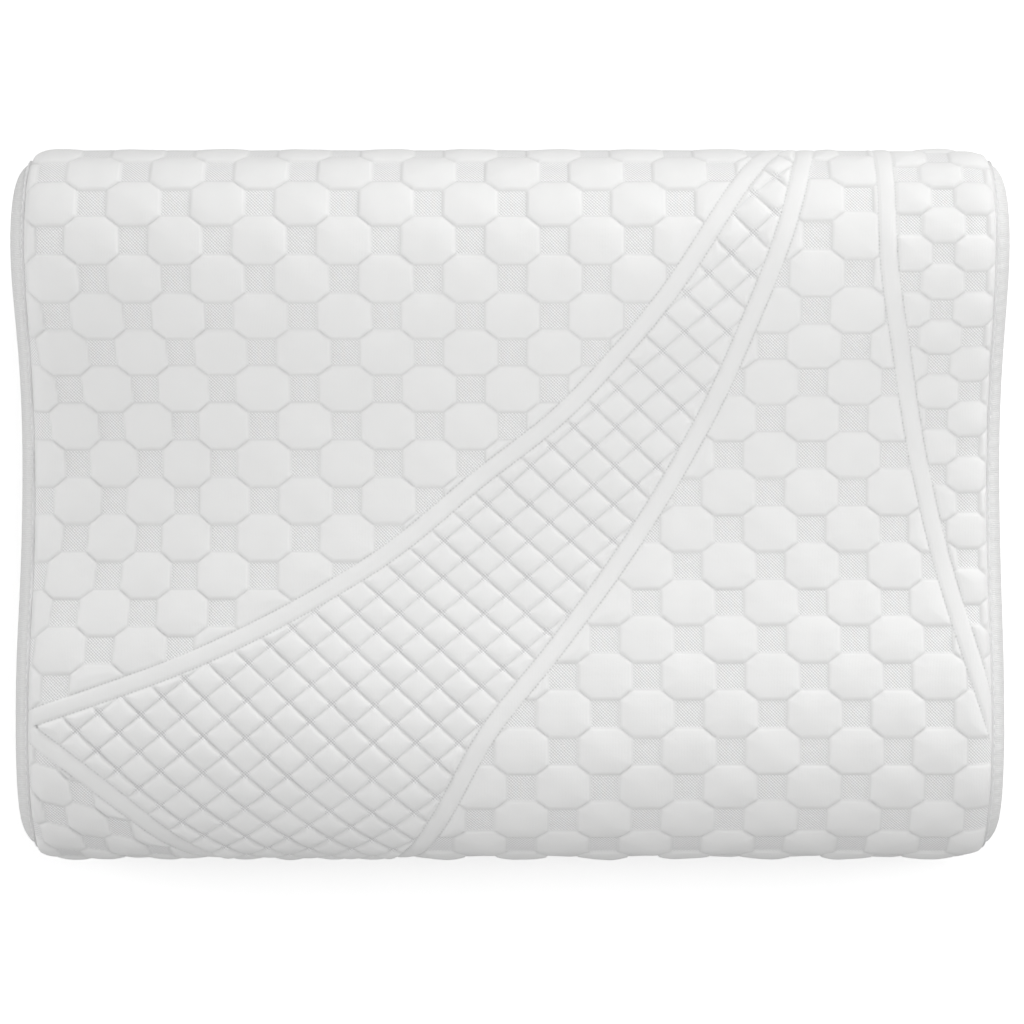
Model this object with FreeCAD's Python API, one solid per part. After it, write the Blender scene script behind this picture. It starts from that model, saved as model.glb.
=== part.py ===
import FreeCAD
import Part
import os
from math import cos, radians, sin

# Contour bed pillow: a moulded foam core with a high back lobe and a lower front lobe, an inner
# liner, and a removable quilted cover with a zip along its back edge.
# Millimetres. X runs along the pillow, +Y points to the high back lobe, +Z is up, and the origin is
# at the middle of the flat underside.

V = FreeCAD.Vector

# Overall shape of the covered pillow
LENGTH = 600.0
DEPTH = 430.0
BACK_CREST_Z = 122.0
FRONT_CREST_Z = 107.0
VALLEY_Z = 87.0
BACK_CREST_Y = 159.0
FRONT_CREST_Y = -137.0
VALLEY_Y = 8.0
BACK_BULGE_Z = 78.0          # height at which the back lobe reaches furthest back
FRONT_BULGE_Z = 52.0
BACK_FACET_Y = DEPTH / 2 - 5.0   # flat strip low on the back face, where the zip is sewn
FACET_TOP_Z = 54.0
BACK_CORNER_R = 28.0
FRONT_CORNER_R = 28.0
END_ROUND_R = 25.0           # rounding between the profile and the two ends
ELLIPSE = 0.5523             # handle length that makes a Bezier a quarter ellipse

# Layers, from the outside inwards: depth of each layer's inner surface below the outer one
FACE_IN = 0.8                # knitted face cloth
WADDING_IN = 3.2             # polyester wadding
BACKING_IN = 3.8             # scrim behind the wadding
LINER_IN = 4.6               # stockinette liner round the foam
END_FACE_IN = 1.2            # thickness of an end panel on the flat of the end
LINER_END = 0.8

# Seams of the cover
WELT_X = 291.0               # middle of the welt between the long panels and an end panel
WELT_WIDTH = 2.0
FRONT_SEAM_Z = 24.0
BACK_SEAM_Z = 41.0

# Zip: size 3 coil chain, closed, with its slider at the +X end
ZIP_Z = BACK_SEAM_Z
SLOT_HALF = 4.0              # half height of the slot between the two hems
SLOT_END = 252.0
TAPE_END = 256.0
TAPE_WIDTH = 12.0
TAPE_GAP = 1.0               # from the zip's centre line to each tape's inner edge
TAPE_OUT = FACE_IN           # the tape's outer face lies against the back of the face cloth
TAPE_THICK = 0.7
COIL_HALF = 2.3
COIL_THICK = 1.8
TOOTH_PITCH = 1.6
TOOTH_WIDTH = 0.7
TOOTH_ROOT = 0.9             # from the centre line to where the teeth leave their row
TOOTH_REACH = 0.6            # how far the teeth pass the centre line
CHAIN_START = -245.0
SLIDER_X = 240.0
THROAT = 1.5                 # the coils part this far ahead of the slider's middle
STOP_LENGTH = 2.0

# Slider and pull tab
SLIDER_LENGTH = 9.0
SLIDER_HALF = 3.4
SLIDER_HEEL_HALF = 2.9
PLATE = 0.9
CHANNEL_HALF = 2.5
COIL_CLEARANCE = 0.3
TAPE_CLEARANCE = 0.2
WEDGE_HALF = 0.8
BRIDGE_HALF = 0.8
BRIDGE_LENGTH = 4.8
BRIDGE_OPENING = 1.4
BRIDGE_BAR = 0.8
PIN_R = 0.5
TAB_LENGTH = 24.0
TAB_WIDTH = 5.6
EYE_HALF = 1.3
EYE_REACH = 3.4
GRIP_HOLE_R = 1.2

# Care label, sewn into the back seam beside the zip
LABEL_X = (-274.0, -257.5)
LABEL_DROP = 27.0
LABEL_THICK = 0.6


def line(a, b):
    return Part.makeLine(V(0, *a), V(0, *b))


def bezier(*poles):
    """A Bezier edge in the YZ plane."""
    curve = Part.BezierCurve()
    curve.setPoles([V(0, y, z) for y, z in poles])
    return curve.toShape()


def corner(cy, cz, radius, start, end):
    """An arc in the YZ plane about (cy, cz), from one angle to another in degrees."""
    points = [V(0, cy + radius * cos(radians(a)), cz + radius * sin(radians(a)))
              for a in (start, (start + end) / 2, end)]
    return Part.Arc(*points).toShape()


def profile(inset):
    """The pillow's side outline, moved inwards by inset: base, back face, two crests, front face."""
    base = inset
    facet = BACK_FACET_Y - inset
    back = DEPTH / 2 - inset
    front = -DEPTH / 2 + inset
    high = BACK_CREST_Z - inset
    low = FRONT_CREST_Z - inset
    valley = VALLEY_Z - inset
    back_corner = BACK_FACET_Y - BACK_CORNER_R
    front_corner = -DEPTH / 2 + FRONT_CORNER_R
    rise = ELLIPSE * (high - BACK_BULGE_Z)
    reach = ELLIPSE * (back - BACK_CREST_Y)
    front_rise = ELLIPSE * (low - FRONT_BULGE_Z)
    front_reach = ELLIPSE * (FRONT_CREST_Y - front)
    swell = 12.0
    edges = [
        line((front_corner, base), (back_corner, base)),
        corner(back_corner, BACK_CORNER_R, BACK_CORNER_R - inset, -90, 0),
        line((facet, BACK_CORNER_R), (facet, FACET_TOP_Z)),
        bezier((facet, FACET_TOP_Z), (facet, FACET_TOP_Z + swell),
               (back, BACK_BULGE_Z - swell), (back, BACK_BULGE_Z)),
        bezier((back, BACK_BULGE_Z), (back, BACK_BULGE_Z + rise),
               (BACK_CREST_Y + reach, high), (BACK_CREST_Y, high)),
        bezier((BACK_CREST_Y, high), (BACK_CREST_Y - 45.0, high),
               (VALLEY_Y + 75.0, valley), (VALLEY_Y, valley)),
        bezier((VALLEY_Y, valley), (VALLEY_Y - 65.0, valley),
               (FRONT_CREST_Y + 55.0, low), (FRONT_CREST_Y, low)),
        bezier((FRONT_CREST_Y, low), (FRONT_CREST_Y - front_reach, low),
               (front, FRONT_BULGE_Z + front_rise), (front, FRONT_BULGE_Z)),
        line((front, FRONT_BULGE_Z), (front, FRONT_CORNER_R)),
        corner(front_corner, FRONT_CORNER_R, FRONT_CORNER_R - inset, 180, 270),
    ]
    return Part.Wire(Part.__sortEdges__(edges))


def pillow_body(inset, half_length, round_r):
    """The whole pillow as one closed solid, inset from the outer surface, with rounded ends."""
    face = Part.Face(profile(inset))
    block = face.extrude(V(2 * half_length, 0, 0))
    block.translate(V(-half_length, 0, 0))
    ends = [e for e in block.Edges
            if e.BoundBox.XLength < 0.001 and abs(abs(e.BoundBox.XMin) - half_length) < 0.001]
    return block.makeFillet(round_r, ends)


def box(x, y, z):
    """A box from (low, high) pairs."""
    return Part.makeBox(x[1] - x[0], y[1] - y[0], z[1] - z[0], V(x[0], y[0], z[0]))


def slab_x(low, high):
    """Everything between two X planes."""
    return box((low, high), (-DEPTH, DEPTH), (-50.0, 200.0))


def depth_y(inset):
    """Y of a layer's surface on the flat strip at the back."""
    return BACK_FACET_Y - inset


def below_seams():
    """The space that the underside panel fills: under the front seam and under the back seam."""
    span = (-LENGTH, LENGTH)
    front = box(span, (-DEPTH, 0.0), (-10.0, FRONT_SEAM_Z))
    back = box(span, (0.0, DEPTH), (-10.0, BACK_SEAM_Z))
    return front.fuse(back)


def zip_slot():
    """The slot in the cover that the zip's coils and slider stand in."""
    return box((-SLOT_END, SLOT_END), (depth_y(BACKING_IN), DEPTH / 2 + 5.0),
               (ZIP_Z - SLOT_HALF, ZIP_Z + SLOT_HALF))


def zip_tape(side):
    """One tape, above (side 1) or below (side -1) the zip's centre line."""
    near, far = ZIP_Z + side * TAPE_GAP, ZIP_Z + side * (TAPE_GAP + TAPE_WIDTH)
    outer = depth_y(TAPE_OUT)
    return box((-TAPE_END, TAPE_END), (outer - TAPE_THICK, outer), (min(near, far), max(near, far)))


def zip_coil(side):
    """One row of teeth. The two rows mesh: the lower row stands half a pitch along."""
    start = CHAIN_START
    end = SLIDER_X + THROAT
    root = ZIP_Z + side * TOOTH_ROOT
    tip = ZIP_Z - side * TOOTH_REACH
    points = [(start, ZIP_Z + side * COIL_HALF), (start, root)]
    x = start + (0.3 if side > 0 else 0.3 + TOOTH_PITCH / 2)
    while x + TOOTH_WIDTH < end:
        points += [(x, root), (x, tip), (x + TOOTH_WIDTH, tip), (x + TOOTH_WIDTH, root)]
        x += TOOTH_PITCH
    points += [(end, root), (end, ZIP_Z + side * COIL_HALF)]
    y = depth_y(TAPE_OUT)
    outline = Part.makePolygon([V(px, y, pz) for px, pz in points + points[:1]])
    return Part.Face(outline).extrude(V(0, COIL_THICK, 0))


def top_stops():
    """Two clips on the tapes' inner edges, just past the slider's nose."""
    x0 = SLIDER_X + SLIDER_LENGTH / 2 + 0.5
    y0 = depth_y(TAPE_OUT)
    stops = []
    for side in (1, -1):
        near, far = ZIP_Z + side * TAPE_GAP, ZIP_Z + side * COIL_HALF
        clip = box((x0, x0 + STOP_LENGTH), (y0, y0 + COIL_THICK), (min(near, far), max(near, far)))
        stops.append(clip.makeFillet(0.3, [e for e in clip.Edges if e.BoundBox.YMin > y0 + 1.0]))
    return Part.makeCompound(stops)


def bottom_stop():
    """One clip across both rows at the fixed end of the chain."""
    y0 = depth_y(TAPE_OUT)
    clip = box((CHAIN_START - 0.5 - STOP_LENGTH, CHAIN_START - 0.5), (y0, y0 + COIL_THICK + 0.2),
               (ZIP_Z - COIL_HALF - 0.3, ZIP_Z + COIL_HALF + 0.3))
    return clip.makeFillet(0.4, [e for e in clip.Edges if e.BoundBox.YMin > y0 + 1.0])


def slider_plate(y0, y1):
    """A plate of the slider: wide at the nose, narrower at the heel."""
    nose = SLIDER_X + SLIDER_LENGTH / 2
    heel = SLIDER_X - SLIDER_LENGTH / 2
    waist = SLIDER_X - 0.5
    half = [(heel, SLIDER_HEEL_HALF), (waist, SLIDER_HEEL_HALF + 0.1),
            (nose - 1.5, SLIDER_HALF), (nose, SLIDER_HALF - 0.9)]
    points = [V(x, y0, ZIP_Z + z) for x, z in half]
    points += [V(x, y0, ZIP_Z - z) for x, z in reversed(half)]
    outline = Part.makePolygon(points + points[:1])
    return Part.Face(outline).extrude(V(0, y1 - y0, 0))


def zip_slider():
    """The slider: outer plate, inner plate, side flanges, the wedge that joins them, the bridge."""
    coil_top = depth_y(TAPE_OUT) + COIL_THICK
    tape_back = depth_y(TAPE_OUT) - TAPE_THICK
    outer0 = coil_top + COIL_CLEARANCE
    outer1 = outer0 + PLATE
    inner1 = tape_back - TAPE_CLEARANCE
    inner0 = inner1 - PLATE - 0.3
    channel = (SLIDER_X - SLIDER_LENGTH, SLIDER_X + SLIDER_LENGTH)
    channel_z = (ZIP_Z - CHANNEL_HALF, ZIP_Z + CHANNEL_HALF)
    flange_low = depth_y(TAPE_OUT) + 0.5
    outer = slider_plate(flange_low, outer1).cut(box(channel, (flange_low - 1, outer0), channel_z))
    inner = slider_plate(inner0, inner1).cut(box(channel, (inner1 - 0.3, inner1 + 1), channel_z))
    wedge0 = SLIDER_X + THROAT + 0.5
    wedge1 = SLIDER_X + SLIDER_LENGTH / 2 - 0.3
    wedge = box((wedge0, wedge1), (inner1 - 0.4, outer0 + 0.1),
                (ZIP_Z - WEDGE_HALF, ZIP_Z + WEDGE_HALF))
    wedge = wedge.makeFillet(0.4, [e for e in wedge.Edges if e.BoundBox.YLength > 1.0])
    bridge_x = (SLIDER_X - 0.8 - BRIDGE_LENGTH / 2, SLIDER_X - 0.8 + BRIDGE_LENGTH / 2)
    top = outer1 + BRIDGE_OPENING + BRIDGE_BAR
    arch = box(bridge_x, (outer1 - 0.1, top), (ZIP_Z - BRIDGE_HALF, ZIP_Z + BRIDGE_HALF))
    arch = arch.makeFillet(0.7, [e for e in arch.Edges
                                 if e.BoundBox.ZLength > 1.0 and e.BoundBox.YMin > outer1])
    window = box((bridge_x[0] + 0.9, bridge_x[1] - 0.9), (outer1, outer1 + BRIDGE_OPENING),
                 (ZIP_Z - 5.0, ZIP_Z + 5.0))
    body = outer.fuse([inner, wedge, arch.cut(window)])
    return body.removeSplitter()


def tab_pivot():
    """Where the pull tab's pin lies under the slider's bridge."""
    outer1 = depth_y(TAPE_OUT) + COIL_THICK + COIL_CLEARANCE + PLATE
    return SLIDER_X - 0.8, outer1 + BRIDGE_OPENING / 2 + 0.05


def zip_pull_tab():
    """The pull tab, lying along the chain: pin, two arms round the bridge, and a grip with a hole."""
    px, py = tab_pivot()
    arms = 2 * EYE_HALF + 2.0
    pin = Part.makeCylinder(PIN_R, arms, V(px, py, ZIP_Z - arms / 2), V(0, 0, 1))
    neck = box((px - EYE_REACH - 2.0, px), (py - PIN_R, py + PIN_R), (ZIP_Z - arms / 2, ZIP_Z + arms / 2))
    grip = box((px - TAB_LENGTH, px - EYE_REACH - 1.0), (py - PIN_R, py + PIN_R),
               (ZIP_Z - TAB_WIDTH / 2, ZIP_Z + TAB_WIDTH / 2))
    grip = grip.makeFillet(1.6, [e for e in grip.Edges if e.BoundBox.YLength > 0.5])
    eye = box((px - EYE_REACH, px + 2.0), (py - 2.0, py + 2.0), (ZIP_Z - EYE_HALF, ZIP_Z + EYE_HALF))
    hole = Part.makeCylinder(GRIP_HOLE_R, 4.0, V(px - TAB_LENGTH + 3.4, py - 2.0, ZIP_Z), V(0, 1, 0))
    plate = neck.fuse(grip).cut(eye).cut(hole)
    return plate.fuse(pin).removeSplitter()


def care_label():
    """A blank woven label, folded and sewn into the back seam, hanging over the underside panel."""
    y0 = BACK_FACET_Y + 0.1
    tag = box(LABEL_X, (y0, y0 + LABEL_THICK), (BACK_SEAM_Z - LABEL_DROP, BACK_SEAM_Z))
    return tag.makeFillet(0.25, [e for e in tag.Edges if e.BoundBox.ZMax < BACK_SEAM_Z - 1.0])


def cover_layers(outer, face, wadding, backing):
    """The three layers of the long panel, split at the seams into a top and an underside panel."""
    middle = slab_x(-WELT_X + WELT_WIDTH / 2, WELT_X - WELT_WIDTH / 2)
    under = below_seams()
    slot = zip_slot()
    tapes = [zip_tape(1), zip_tape(-1)]
    layers = {"face": outer.cut(face), "wadding": face.cut(wadding), "backing": wadding.cut(backing)}
    parts = {}
    for name, shell in layers.items():
        ring = shell.common(middle).cut(slot)
        if name == "wadding":
            ring = ring.cut(tapes)
        parts["cover_top_" + name] = ring.cut(under)
        parts["cover_bottom_" + name] = ring.common(under)
    return parts


def end_pieces(outer, backing):
    """The welts in the end seams, and the end panels outside them."""
    shell = outer.cut(backing)
    inner_edge = WELT_X - WELT_WIDTH / 2
    outer_edge = WELT_X + WELT_WIDTH / 2
    return {
        "seam_welt_right": shell.common(slab_x(inner_edge, outer_edge)),
        "seam_welt_left": shell.common(slab_x(-outer_edge, -inner_edge)),
        "end_panel_right": shell.common(slab_x(outer_edge, LENGTH)),
        "end_panel_left": shell.common(slab_x(-LENGTH, -outer_edge)),
    }


def build():
    half = LENGTH / 2
    outer = pillow_body(0.0, half, END_ROUND_R)
    face = pillow_body(FACE_IN, half - 0.6, END_ROUND_R - 0.7)
    wadding = pillow_body(WADDING_IN, half - 1.0, END_ROUND_R - 2.6)
    backing = pillow_body(BACKING_IN, half - END_FACE_IN, END_ROUND_R - 3.0)
    foam = pillow_body(LINER_IN, half - END_FACE_IN - LINER_END, END_ROUND_R - 3.8)
    parts = {"foam_core": foam, "inner_liner": backing.cut(foam)}
    parts.update(cover_layers(outer, face, wadding, backing))
    parts.update(end_pieces(outer, backing))
    parts.update({
        "zip_tape_upper": zip_tape(1),
        "zip_tape_lower": zip_tape(-1),
        "zip_coil_upper": zip_coil(1),
        "zip_coil_lower": zip_coil(-1),
        "zip_top_stops": top_stops(),
        "zip_bottom_stop": bottom_stop(),
        "zip_slider": zip_slider(),
        "zip_pull_tab": zip_pull_tab(),
        "care_label": care_label(),
    })
    return parts


os.makedirs("parts", exist_ok=True)
for node, shape in build().items():
    box_now = shape.BoundBox
    print(f"{node}: {len(shape.Solids)} solid(s), valid {shape.isValid()}, {shape.Volume / 1000:.2f} cm3, "
          f"x {box_now.XMin:.1f}..{box_now.XMax:.1f} y {box_now.YMin:.1f}..{box_now.YMax:.1f} "
          f"z {box_now.ZMin:.1f}..{box_now.ZMax:.1f}")
    solids = Part.makeCompound(shape.Solids) if len(shape.Solids) > 1 else shape.Solids[0]
    solids.exportStep(f"parts/{node}.step")
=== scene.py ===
import bpy
import bmesh
import numpy as np
from math import asin, hypot, pi, sqrt
from mathutils import Matrix, Vector


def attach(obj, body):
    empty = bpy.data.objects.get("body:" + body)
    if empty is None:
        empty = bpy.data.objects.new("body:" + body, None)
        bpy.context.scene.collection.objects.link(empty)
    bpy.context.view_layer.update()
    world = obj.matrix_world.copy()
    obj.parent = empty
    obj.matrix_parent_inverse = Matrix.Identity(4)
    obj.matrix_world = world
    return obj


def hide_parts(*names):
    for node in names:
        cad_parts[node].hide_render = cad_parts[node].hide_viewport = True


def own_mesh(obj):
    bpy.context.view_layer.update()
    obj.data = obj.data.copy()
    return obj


# A contour bed pillow in a quilted jacquard-knit cover. Cloth is laid out in its own coordinates:
# u runs along the pillow and v round it, both in millimetres along the surface, with v = 0 at the
# bottom of the dip and growing towards the high back lobe. Meshes are in metres.

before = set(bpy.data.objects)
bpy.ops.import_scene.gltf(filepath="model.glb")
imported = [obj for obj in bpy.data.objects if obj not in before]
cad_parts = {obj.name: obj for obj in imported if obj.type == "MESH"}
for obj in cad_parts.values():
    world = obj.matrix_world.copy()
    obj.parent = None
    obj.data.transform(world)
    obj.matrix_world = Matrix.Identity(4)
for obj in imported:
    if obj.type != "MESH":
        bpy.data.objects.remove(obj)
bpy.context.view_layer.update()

MM = 0.001

# ---------------------------------------------------------------- the pillow's shape, as in the CAD
LENGTH = 600.0
DEPTH = 430.0
BACK_CREST = (159.0, 122.0)      # (Y, Z) of the profile's high points, low point and bulges
FRONT_CREST = (-137.0, 107.0)
VALLEY = (8.0, 87.0)
BACK_BULGE = (215.0, 78.0)
FRONT_BULGE = (-215.0, 52.0)
FACET_Y = 210.0                  # the flat upright strip low on the back, and its top
FACET_TOP = 54.0
CORNER_R = 28.0                  # rounding along the bottom edges, and round the ends
END_R = 25.0
ROUND_FROM = LENGTH / 2 - END_R  # |u| at which the cloth starts to turn down over an end
ELLIPSE = 0.5523                 # share of a radius that makes a Bezier handle draw a quarter ellipse
SWELL = 12.0                     # handles of the curve from the back's bulge down to the strip
WELT_X = 291.0                   # middle of each end's seam
FRONT_SEAM_Z = 24.0
BACK_SEAM_Z = 41.0
SLOT_HALF = 4.0                  # half height and half length of the zip's opening in the cover
SLOT_END = 252.0
ZIP_Z = BACK_SEAM_Z
TAPE_FACE_Y = 209.2              # outer face of the zip's tapes, where its coils stand
CHAIN_START = -245.0
CHAIN_END = 241.5                # where the coils part, just ahead of the slider's middle
LABEL_X = (-274.0, -257.5)
LABEL_DROP = 27.0
RIM_U = ROUND_FROM + END_R * pi / 2  # |u| where an end's rounding meets its flat face
FACE_REACH = 30.0                # cloth distance given to an end's flat face, up to its middle line
SPINE_HALF = 150.0               # half length and height of that middle line
SPINE_Z = 46.0
SUNK = 6.0                       # how far the left end sinks at the dip

# ---------------------------------------------------------------- the quilting
PUFF_BASE = -0.45                # level of the flat mesh, against the CAD surface
BAND_HALF = 5.4
BAND_1 = [(-440, -192), (-300, -141), (-197, -104), (-91, -48), (-16, 11), (28, 46), (66, 87), (131, 180),
          (165, 240), (174, 300)]
BAND_2 = [(-90, -300), (-42, -200), (-14, -147), (27, -95), (84, -14), (123, 56), (147, 116), (168, 176),
          (181, 240), (190, 300)]
BAND_3 = [(-130, -310), (-201, -223), (-243, -181), (-287, -147), (-330, -118)]
BAND_4 = [(330, -240), (290, -139), (266, -60), (248, 16), (235, 86), (225, 145), (224, 192), (228, 300)]
# Steps along u and v from an octagon to the next one beside it, for each field of the pattern
PITCH_LEFT = (25.05, 22.8)
PITCH_RIGHT = (25.05, 22.45)
PITCH_DIAMOND = (25.05, 22.65)   # between a diamond's opposite corners
PITCH_SMALL = (19.7, 17.0)
PITCH_CORNER = (18.5, 18.8)
ORIGIN_A = (1.3, 18.2)           # an octagon's middle: A left of the bands, C between them and D at the
ORIGIN_C = (157.2, 23.15)        # right end, E in the corner at the front and left
ORIGIN_D = (257.5, 130.3)
ORIGIN_E = (-276.5, -177.5)
DIAMOND_PHASE = (0.2175, 0.7845)
DIAMOND_LEAN = 0.03              # how far the diamonds' columns lean along u, for each step along v
DIAMOND_CLIMB = (-90.0, 0.042)   # u left of which the diamonds' rows climb, and how steeply
DIAMOND_SHIFT = (0.7, 0.5)
SCALE_U = 0.983                  # the diamonds' scale along u, and along v behind and before the dip
SCALE_V = (0.952, 1.02)
OCTAGON_HALF = (0.657, 0.635)    # half an octagon's width and height, as a share of those steps
CORNER_LEAN = (0.13, 0.27)       # the corner field's columns and rows lean
MESH_REPEAT = 1.94               # of the mesh's threads
BACK_LEVEL = 2.4                 # lift towards which the cloth is stretched flat over the back


def smooth(t):
    t = np.clip(t, 0.0, 1.0)
    return t * t * (3.0 - 2.0 * t)


# ---------------------------------------------------------------- profile of the pillow
def bezier(a, b, c, d, count=60):
    t = np.linspace(0.0, 1.0, count)[:, None]
    a, b, c, d = (np.array(p, float) for p in (a, b, c, d))
    return (1 - t) ** 3 * a + 3 * (1 - t) ** 2 * t * b + 3 * (1 - t) * t * t * c + t ** 3 * d


def arc(centre, radius, start, end, count=40):
    angles = np.radians(np.linspace(start, end, count))
    return np.stack([centre[0] + radius * np.cos(angles), centre[1] + radius * np.sin(angles)], axis=1)


def run(a, b, count=60):
    return np.linspace(a, b, count)


def closed_profile():
    """Once round the pillow in the YZ plane, from the bottom of the dip backwards over the high lobe."""
    (by, bz), (fy, fz), (vy, vz) = BACK_CREST, FRONT_CREST, VALLEY
    bulge_y, bulge_z = BACK_BULGE
    nose_y, nose_z = FRONT_BULGE
    rise = ELLIPSE * (bz - bulge_z)
    reach = ELLIPSE * (bulge_y - by)
    front_rise = ELLIPSE * (fz - nose_z)
    front_reach = ELLIPSE * (fy - nose_y)
    back_corner = FACET_Y - CORNER_R
    front_corner = -DEPTH / 2 + CORNER_R
    pieces = [
        bezier((vy, vz), (vy + 75.0, vz), (by - 45.0, bz), (by, bz), 150),
        bezier((by, bz), (by + reach, bz), (bulge_y, bulge_z + rise), (bulge_y, bulge_z)),
        bezier((bulge_y, bulge_z), (bulge_y, bulge_z - SWELL), (FACET_Y, FACET_TOP + SWELL),
               (FACET_Y, FACET_TOP)),
        run((FACET_Y, FACET_TOP), (FACET_Y, CORNER_R)),
        arc((back_corner, CORNER_R), CORNER_R, 0, -90),
        run((back_corner, 0.0), (front_corner, 0.0), 150),
        arc((front_corner, CORNER_R), CORNER_R, -90, -180),
        run((-DEPTH / 2, CORNER_R), (nose_y, nose_z)),
        bezier((nose_y, nose_z), (nose_y, nose_z + front_rise), (fy - front_reach, fz), (fy, fz)),
        bezier((fy, fz), (fy + 55.0, fz), (vy - 65.0, vz), (vy, vz), 150),
    ]
    return np.concatenate([p[:-1] for p in pieces])


OUTLINE = closed_profile()
STEPS = np.roll(OUTLINE, -1, axis=0) - OUTLINE
LENGTHS = np.hypot(STEPS[:, 0], STEPS[:, 1])
GIRTH = float(LENGTHS.sum())
ARC_AT = np.concatenate([[0.0], np.cumsum(LENGTHS)])


def on_profile(v):
    """(y, z) of the outer surface at v, and the outward direction there."""
    v = np.mod(v, GIRTH)
    loop = np.vstack([OUTLINE, OUTLINE[:1]])
    y = np.interp(v, ARC_AT, loop[:, 0])
    z = np.interp(v, ARC_AT, loop[:, 1])
    ahead, behind = np.mod(v + 1.5, GIRTH), np.mod(v - 1.5, GIRTH)
    ty = np.interp(ahead, ARC_AT, loop[:, 0]) - np.interp(behind, ARC_AT, loop[:, 0])
    tz = np.interp(ahead, ARC_AT, loop[:, 1]) - np.interp(behind, ARC_AT, loop[:, 1])
    size = np.hypot(ty, tz)
    return y, z, -tz / size, ty / size


def v_at(side, height):
    """v where the front (-1) or back (1) of the pillow is at that height."""
    picked = OUTLINE[:, 0] * side > DEPTH / 2 - CORNER_R
    spots = np.where(picked, np.abs(OUTLINE[:, 1] - height), 1e9)
    v = float(ARC_AT[int(np.argmin(spots))])
    return v if side > 0 else v - GIRTH


V_FRONT_SEAM = v_at(-1, FRONT_SEAM_Z)
V_BACK_SEAM = v_at(1, BACK_SEAM_Z)
V_FRONT_TIP = v_at(-1, 50.0)
V_BACK_TIP = v_at(1, 60.0)


def u_at(x):
    """u where the cloth has turned as far out as x, on an end's rounding."""
    return ROUND_FROM + END_R * asin((x - ROUND_FROM) / END_R)


U_SEAM = u_at(WELT_X - 1.0)
U_WELT_OUT = u_at(WELT_X + 1.0)


def settled(u, v):
    """0 to 1 where the left end sinks a little along the dip."""
    return smooth((-u - 165.0) / 125.0) * np.exp(-((v - 18.0) / 92.0) ** 4)


def surface(u, v, lift):
    """Points in metres on the pillow at cloth position (u, v), lifted off it along its outward normal."""
    y, z, ny, nz = on_profile(v)
    over = np.clip((np.abs(u) - ROUND_FROM) / END_R, 0.0, pi / 2)
    x = np.sign(u) * (np.minimum(np.abs(u), ROUND_FROM) + (END_R + lift) * np.sin(over))
    out = (END_R + lift) * np.cos(over) - END_R
    return np.stack([x, y + ny * out, z + nz * out - SUNK * settled(u, v)], axis=-1) * MM


# ---------------------------------------------------------------- pattern of the cloth
def route(points, v):
    """A smooth line through (u, v) points, at each v: its u and its slope du/dv."""
    points = np.array(sorted(points, key=lambda p: p[1]), float)
    pu, pv = points[:, 0], points[:, 1]
    slopes = np.gradient(pu, pv)
    k = np.clip(np.searchsorted(pv, v) - 1, 0, len(pv) - 2)
    gap = pv[k + 1] - pv[k]
    t = np.clip((v - pv[k]) / gap, 0.0, 1.0)
    u = ((2 * t ** 3 - 3 * t ** 2 + 1) * pu[k] + (t ** 3 - 2 * t ** 2 + t) * gap * slopes[k]
         + (3 * t ** 2 - 2 * t ** 3) * pu[k + 1] + (t ** 3 - t ** 2) * gap * slopes[k + 1])
    slope = ((6 * t ** 2 - 6 * t) * (pu[k] - pu[k + 1]) / gap + (3 * t ** 2 - 4 * t + 1) * slopes[k]
             + (3 * t ** 2 - 2 * t) * slopes[k + 1])
    return u, slope


def beside_band(points, u, v):
    """Distance to the right of a band's middle line, and the distance run along the band."""
    line, slope = route(points, v)
    tilt = np.sqrt(1.0 + slope ** 2)
    rows = np.arange(-320.0, 321.0, 1.0)
    lengths = np.cumsum(np.sqrt(1.0 + route(points, rows)[1] ** 2))
    return (u - line) / tilt, np.interp(v, rows, lengths) + (u - line) * slope / tilt


def cell_noise(i, j):
    """A steady pseudo-random number from -1 to 1 for each quilted cell."""
    raw = np.sin(i * 12.9898 + j * 78.233) * 43758.5453
    return (raw - np.floor(raw)) * 2.0 - 1.0


def dome(depth, radius):
    """Height, 0 to 1, of a puff at that distance inside its edge."""
    return 1.0 - (1.0 - np.clip(depth / radius, 0.0, 1.0)) ** 2


def octagons(u, v, origin, pitch, lean=(0.0, 0.0)):
    """Distance inside the nearest octagon's edge (below zero in the mesh squares), and cell noise."""
    a, b = pitch
    du, dv = u - origin[0], v - origin[1]
    x, y = (du + lean[0] * dv) / a, (dv + lean[1] * du) / b
    i, j = 2.0 * np.round(x / 2.0), 2.0 * np.round(y / 2.0)
    dx, dy = np.abs(x - i), np.abs(y - j)
    half_w, half_h = OCTAGON_HALF[0] * a, OCTAGON_HALF[1] * b
    nx, ny = 2 * half_h - b, 2 * half_w - a
    size = hypot(nx, ny)
    reach = (nx * a / 2 + ny * b / 2) / size
    depths = []
    for px, py in ((dx * a, dy * b), ((1 - dx) * a, (1 - dy) * b)):
        edge = np.minimum(half_w - px, half_h - py)
        depths.append(np.minimum(edge, reach - (px * nx + py * ny) / size))
    second = depths[1] > depths[0]
    ci = np.where(second, i + np.sign(x - i), i)
    cj = np.where(second, j + np.sign(y - j), j)
    return np.maximum(*depths), cell_noise(ci, cj)


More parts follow.
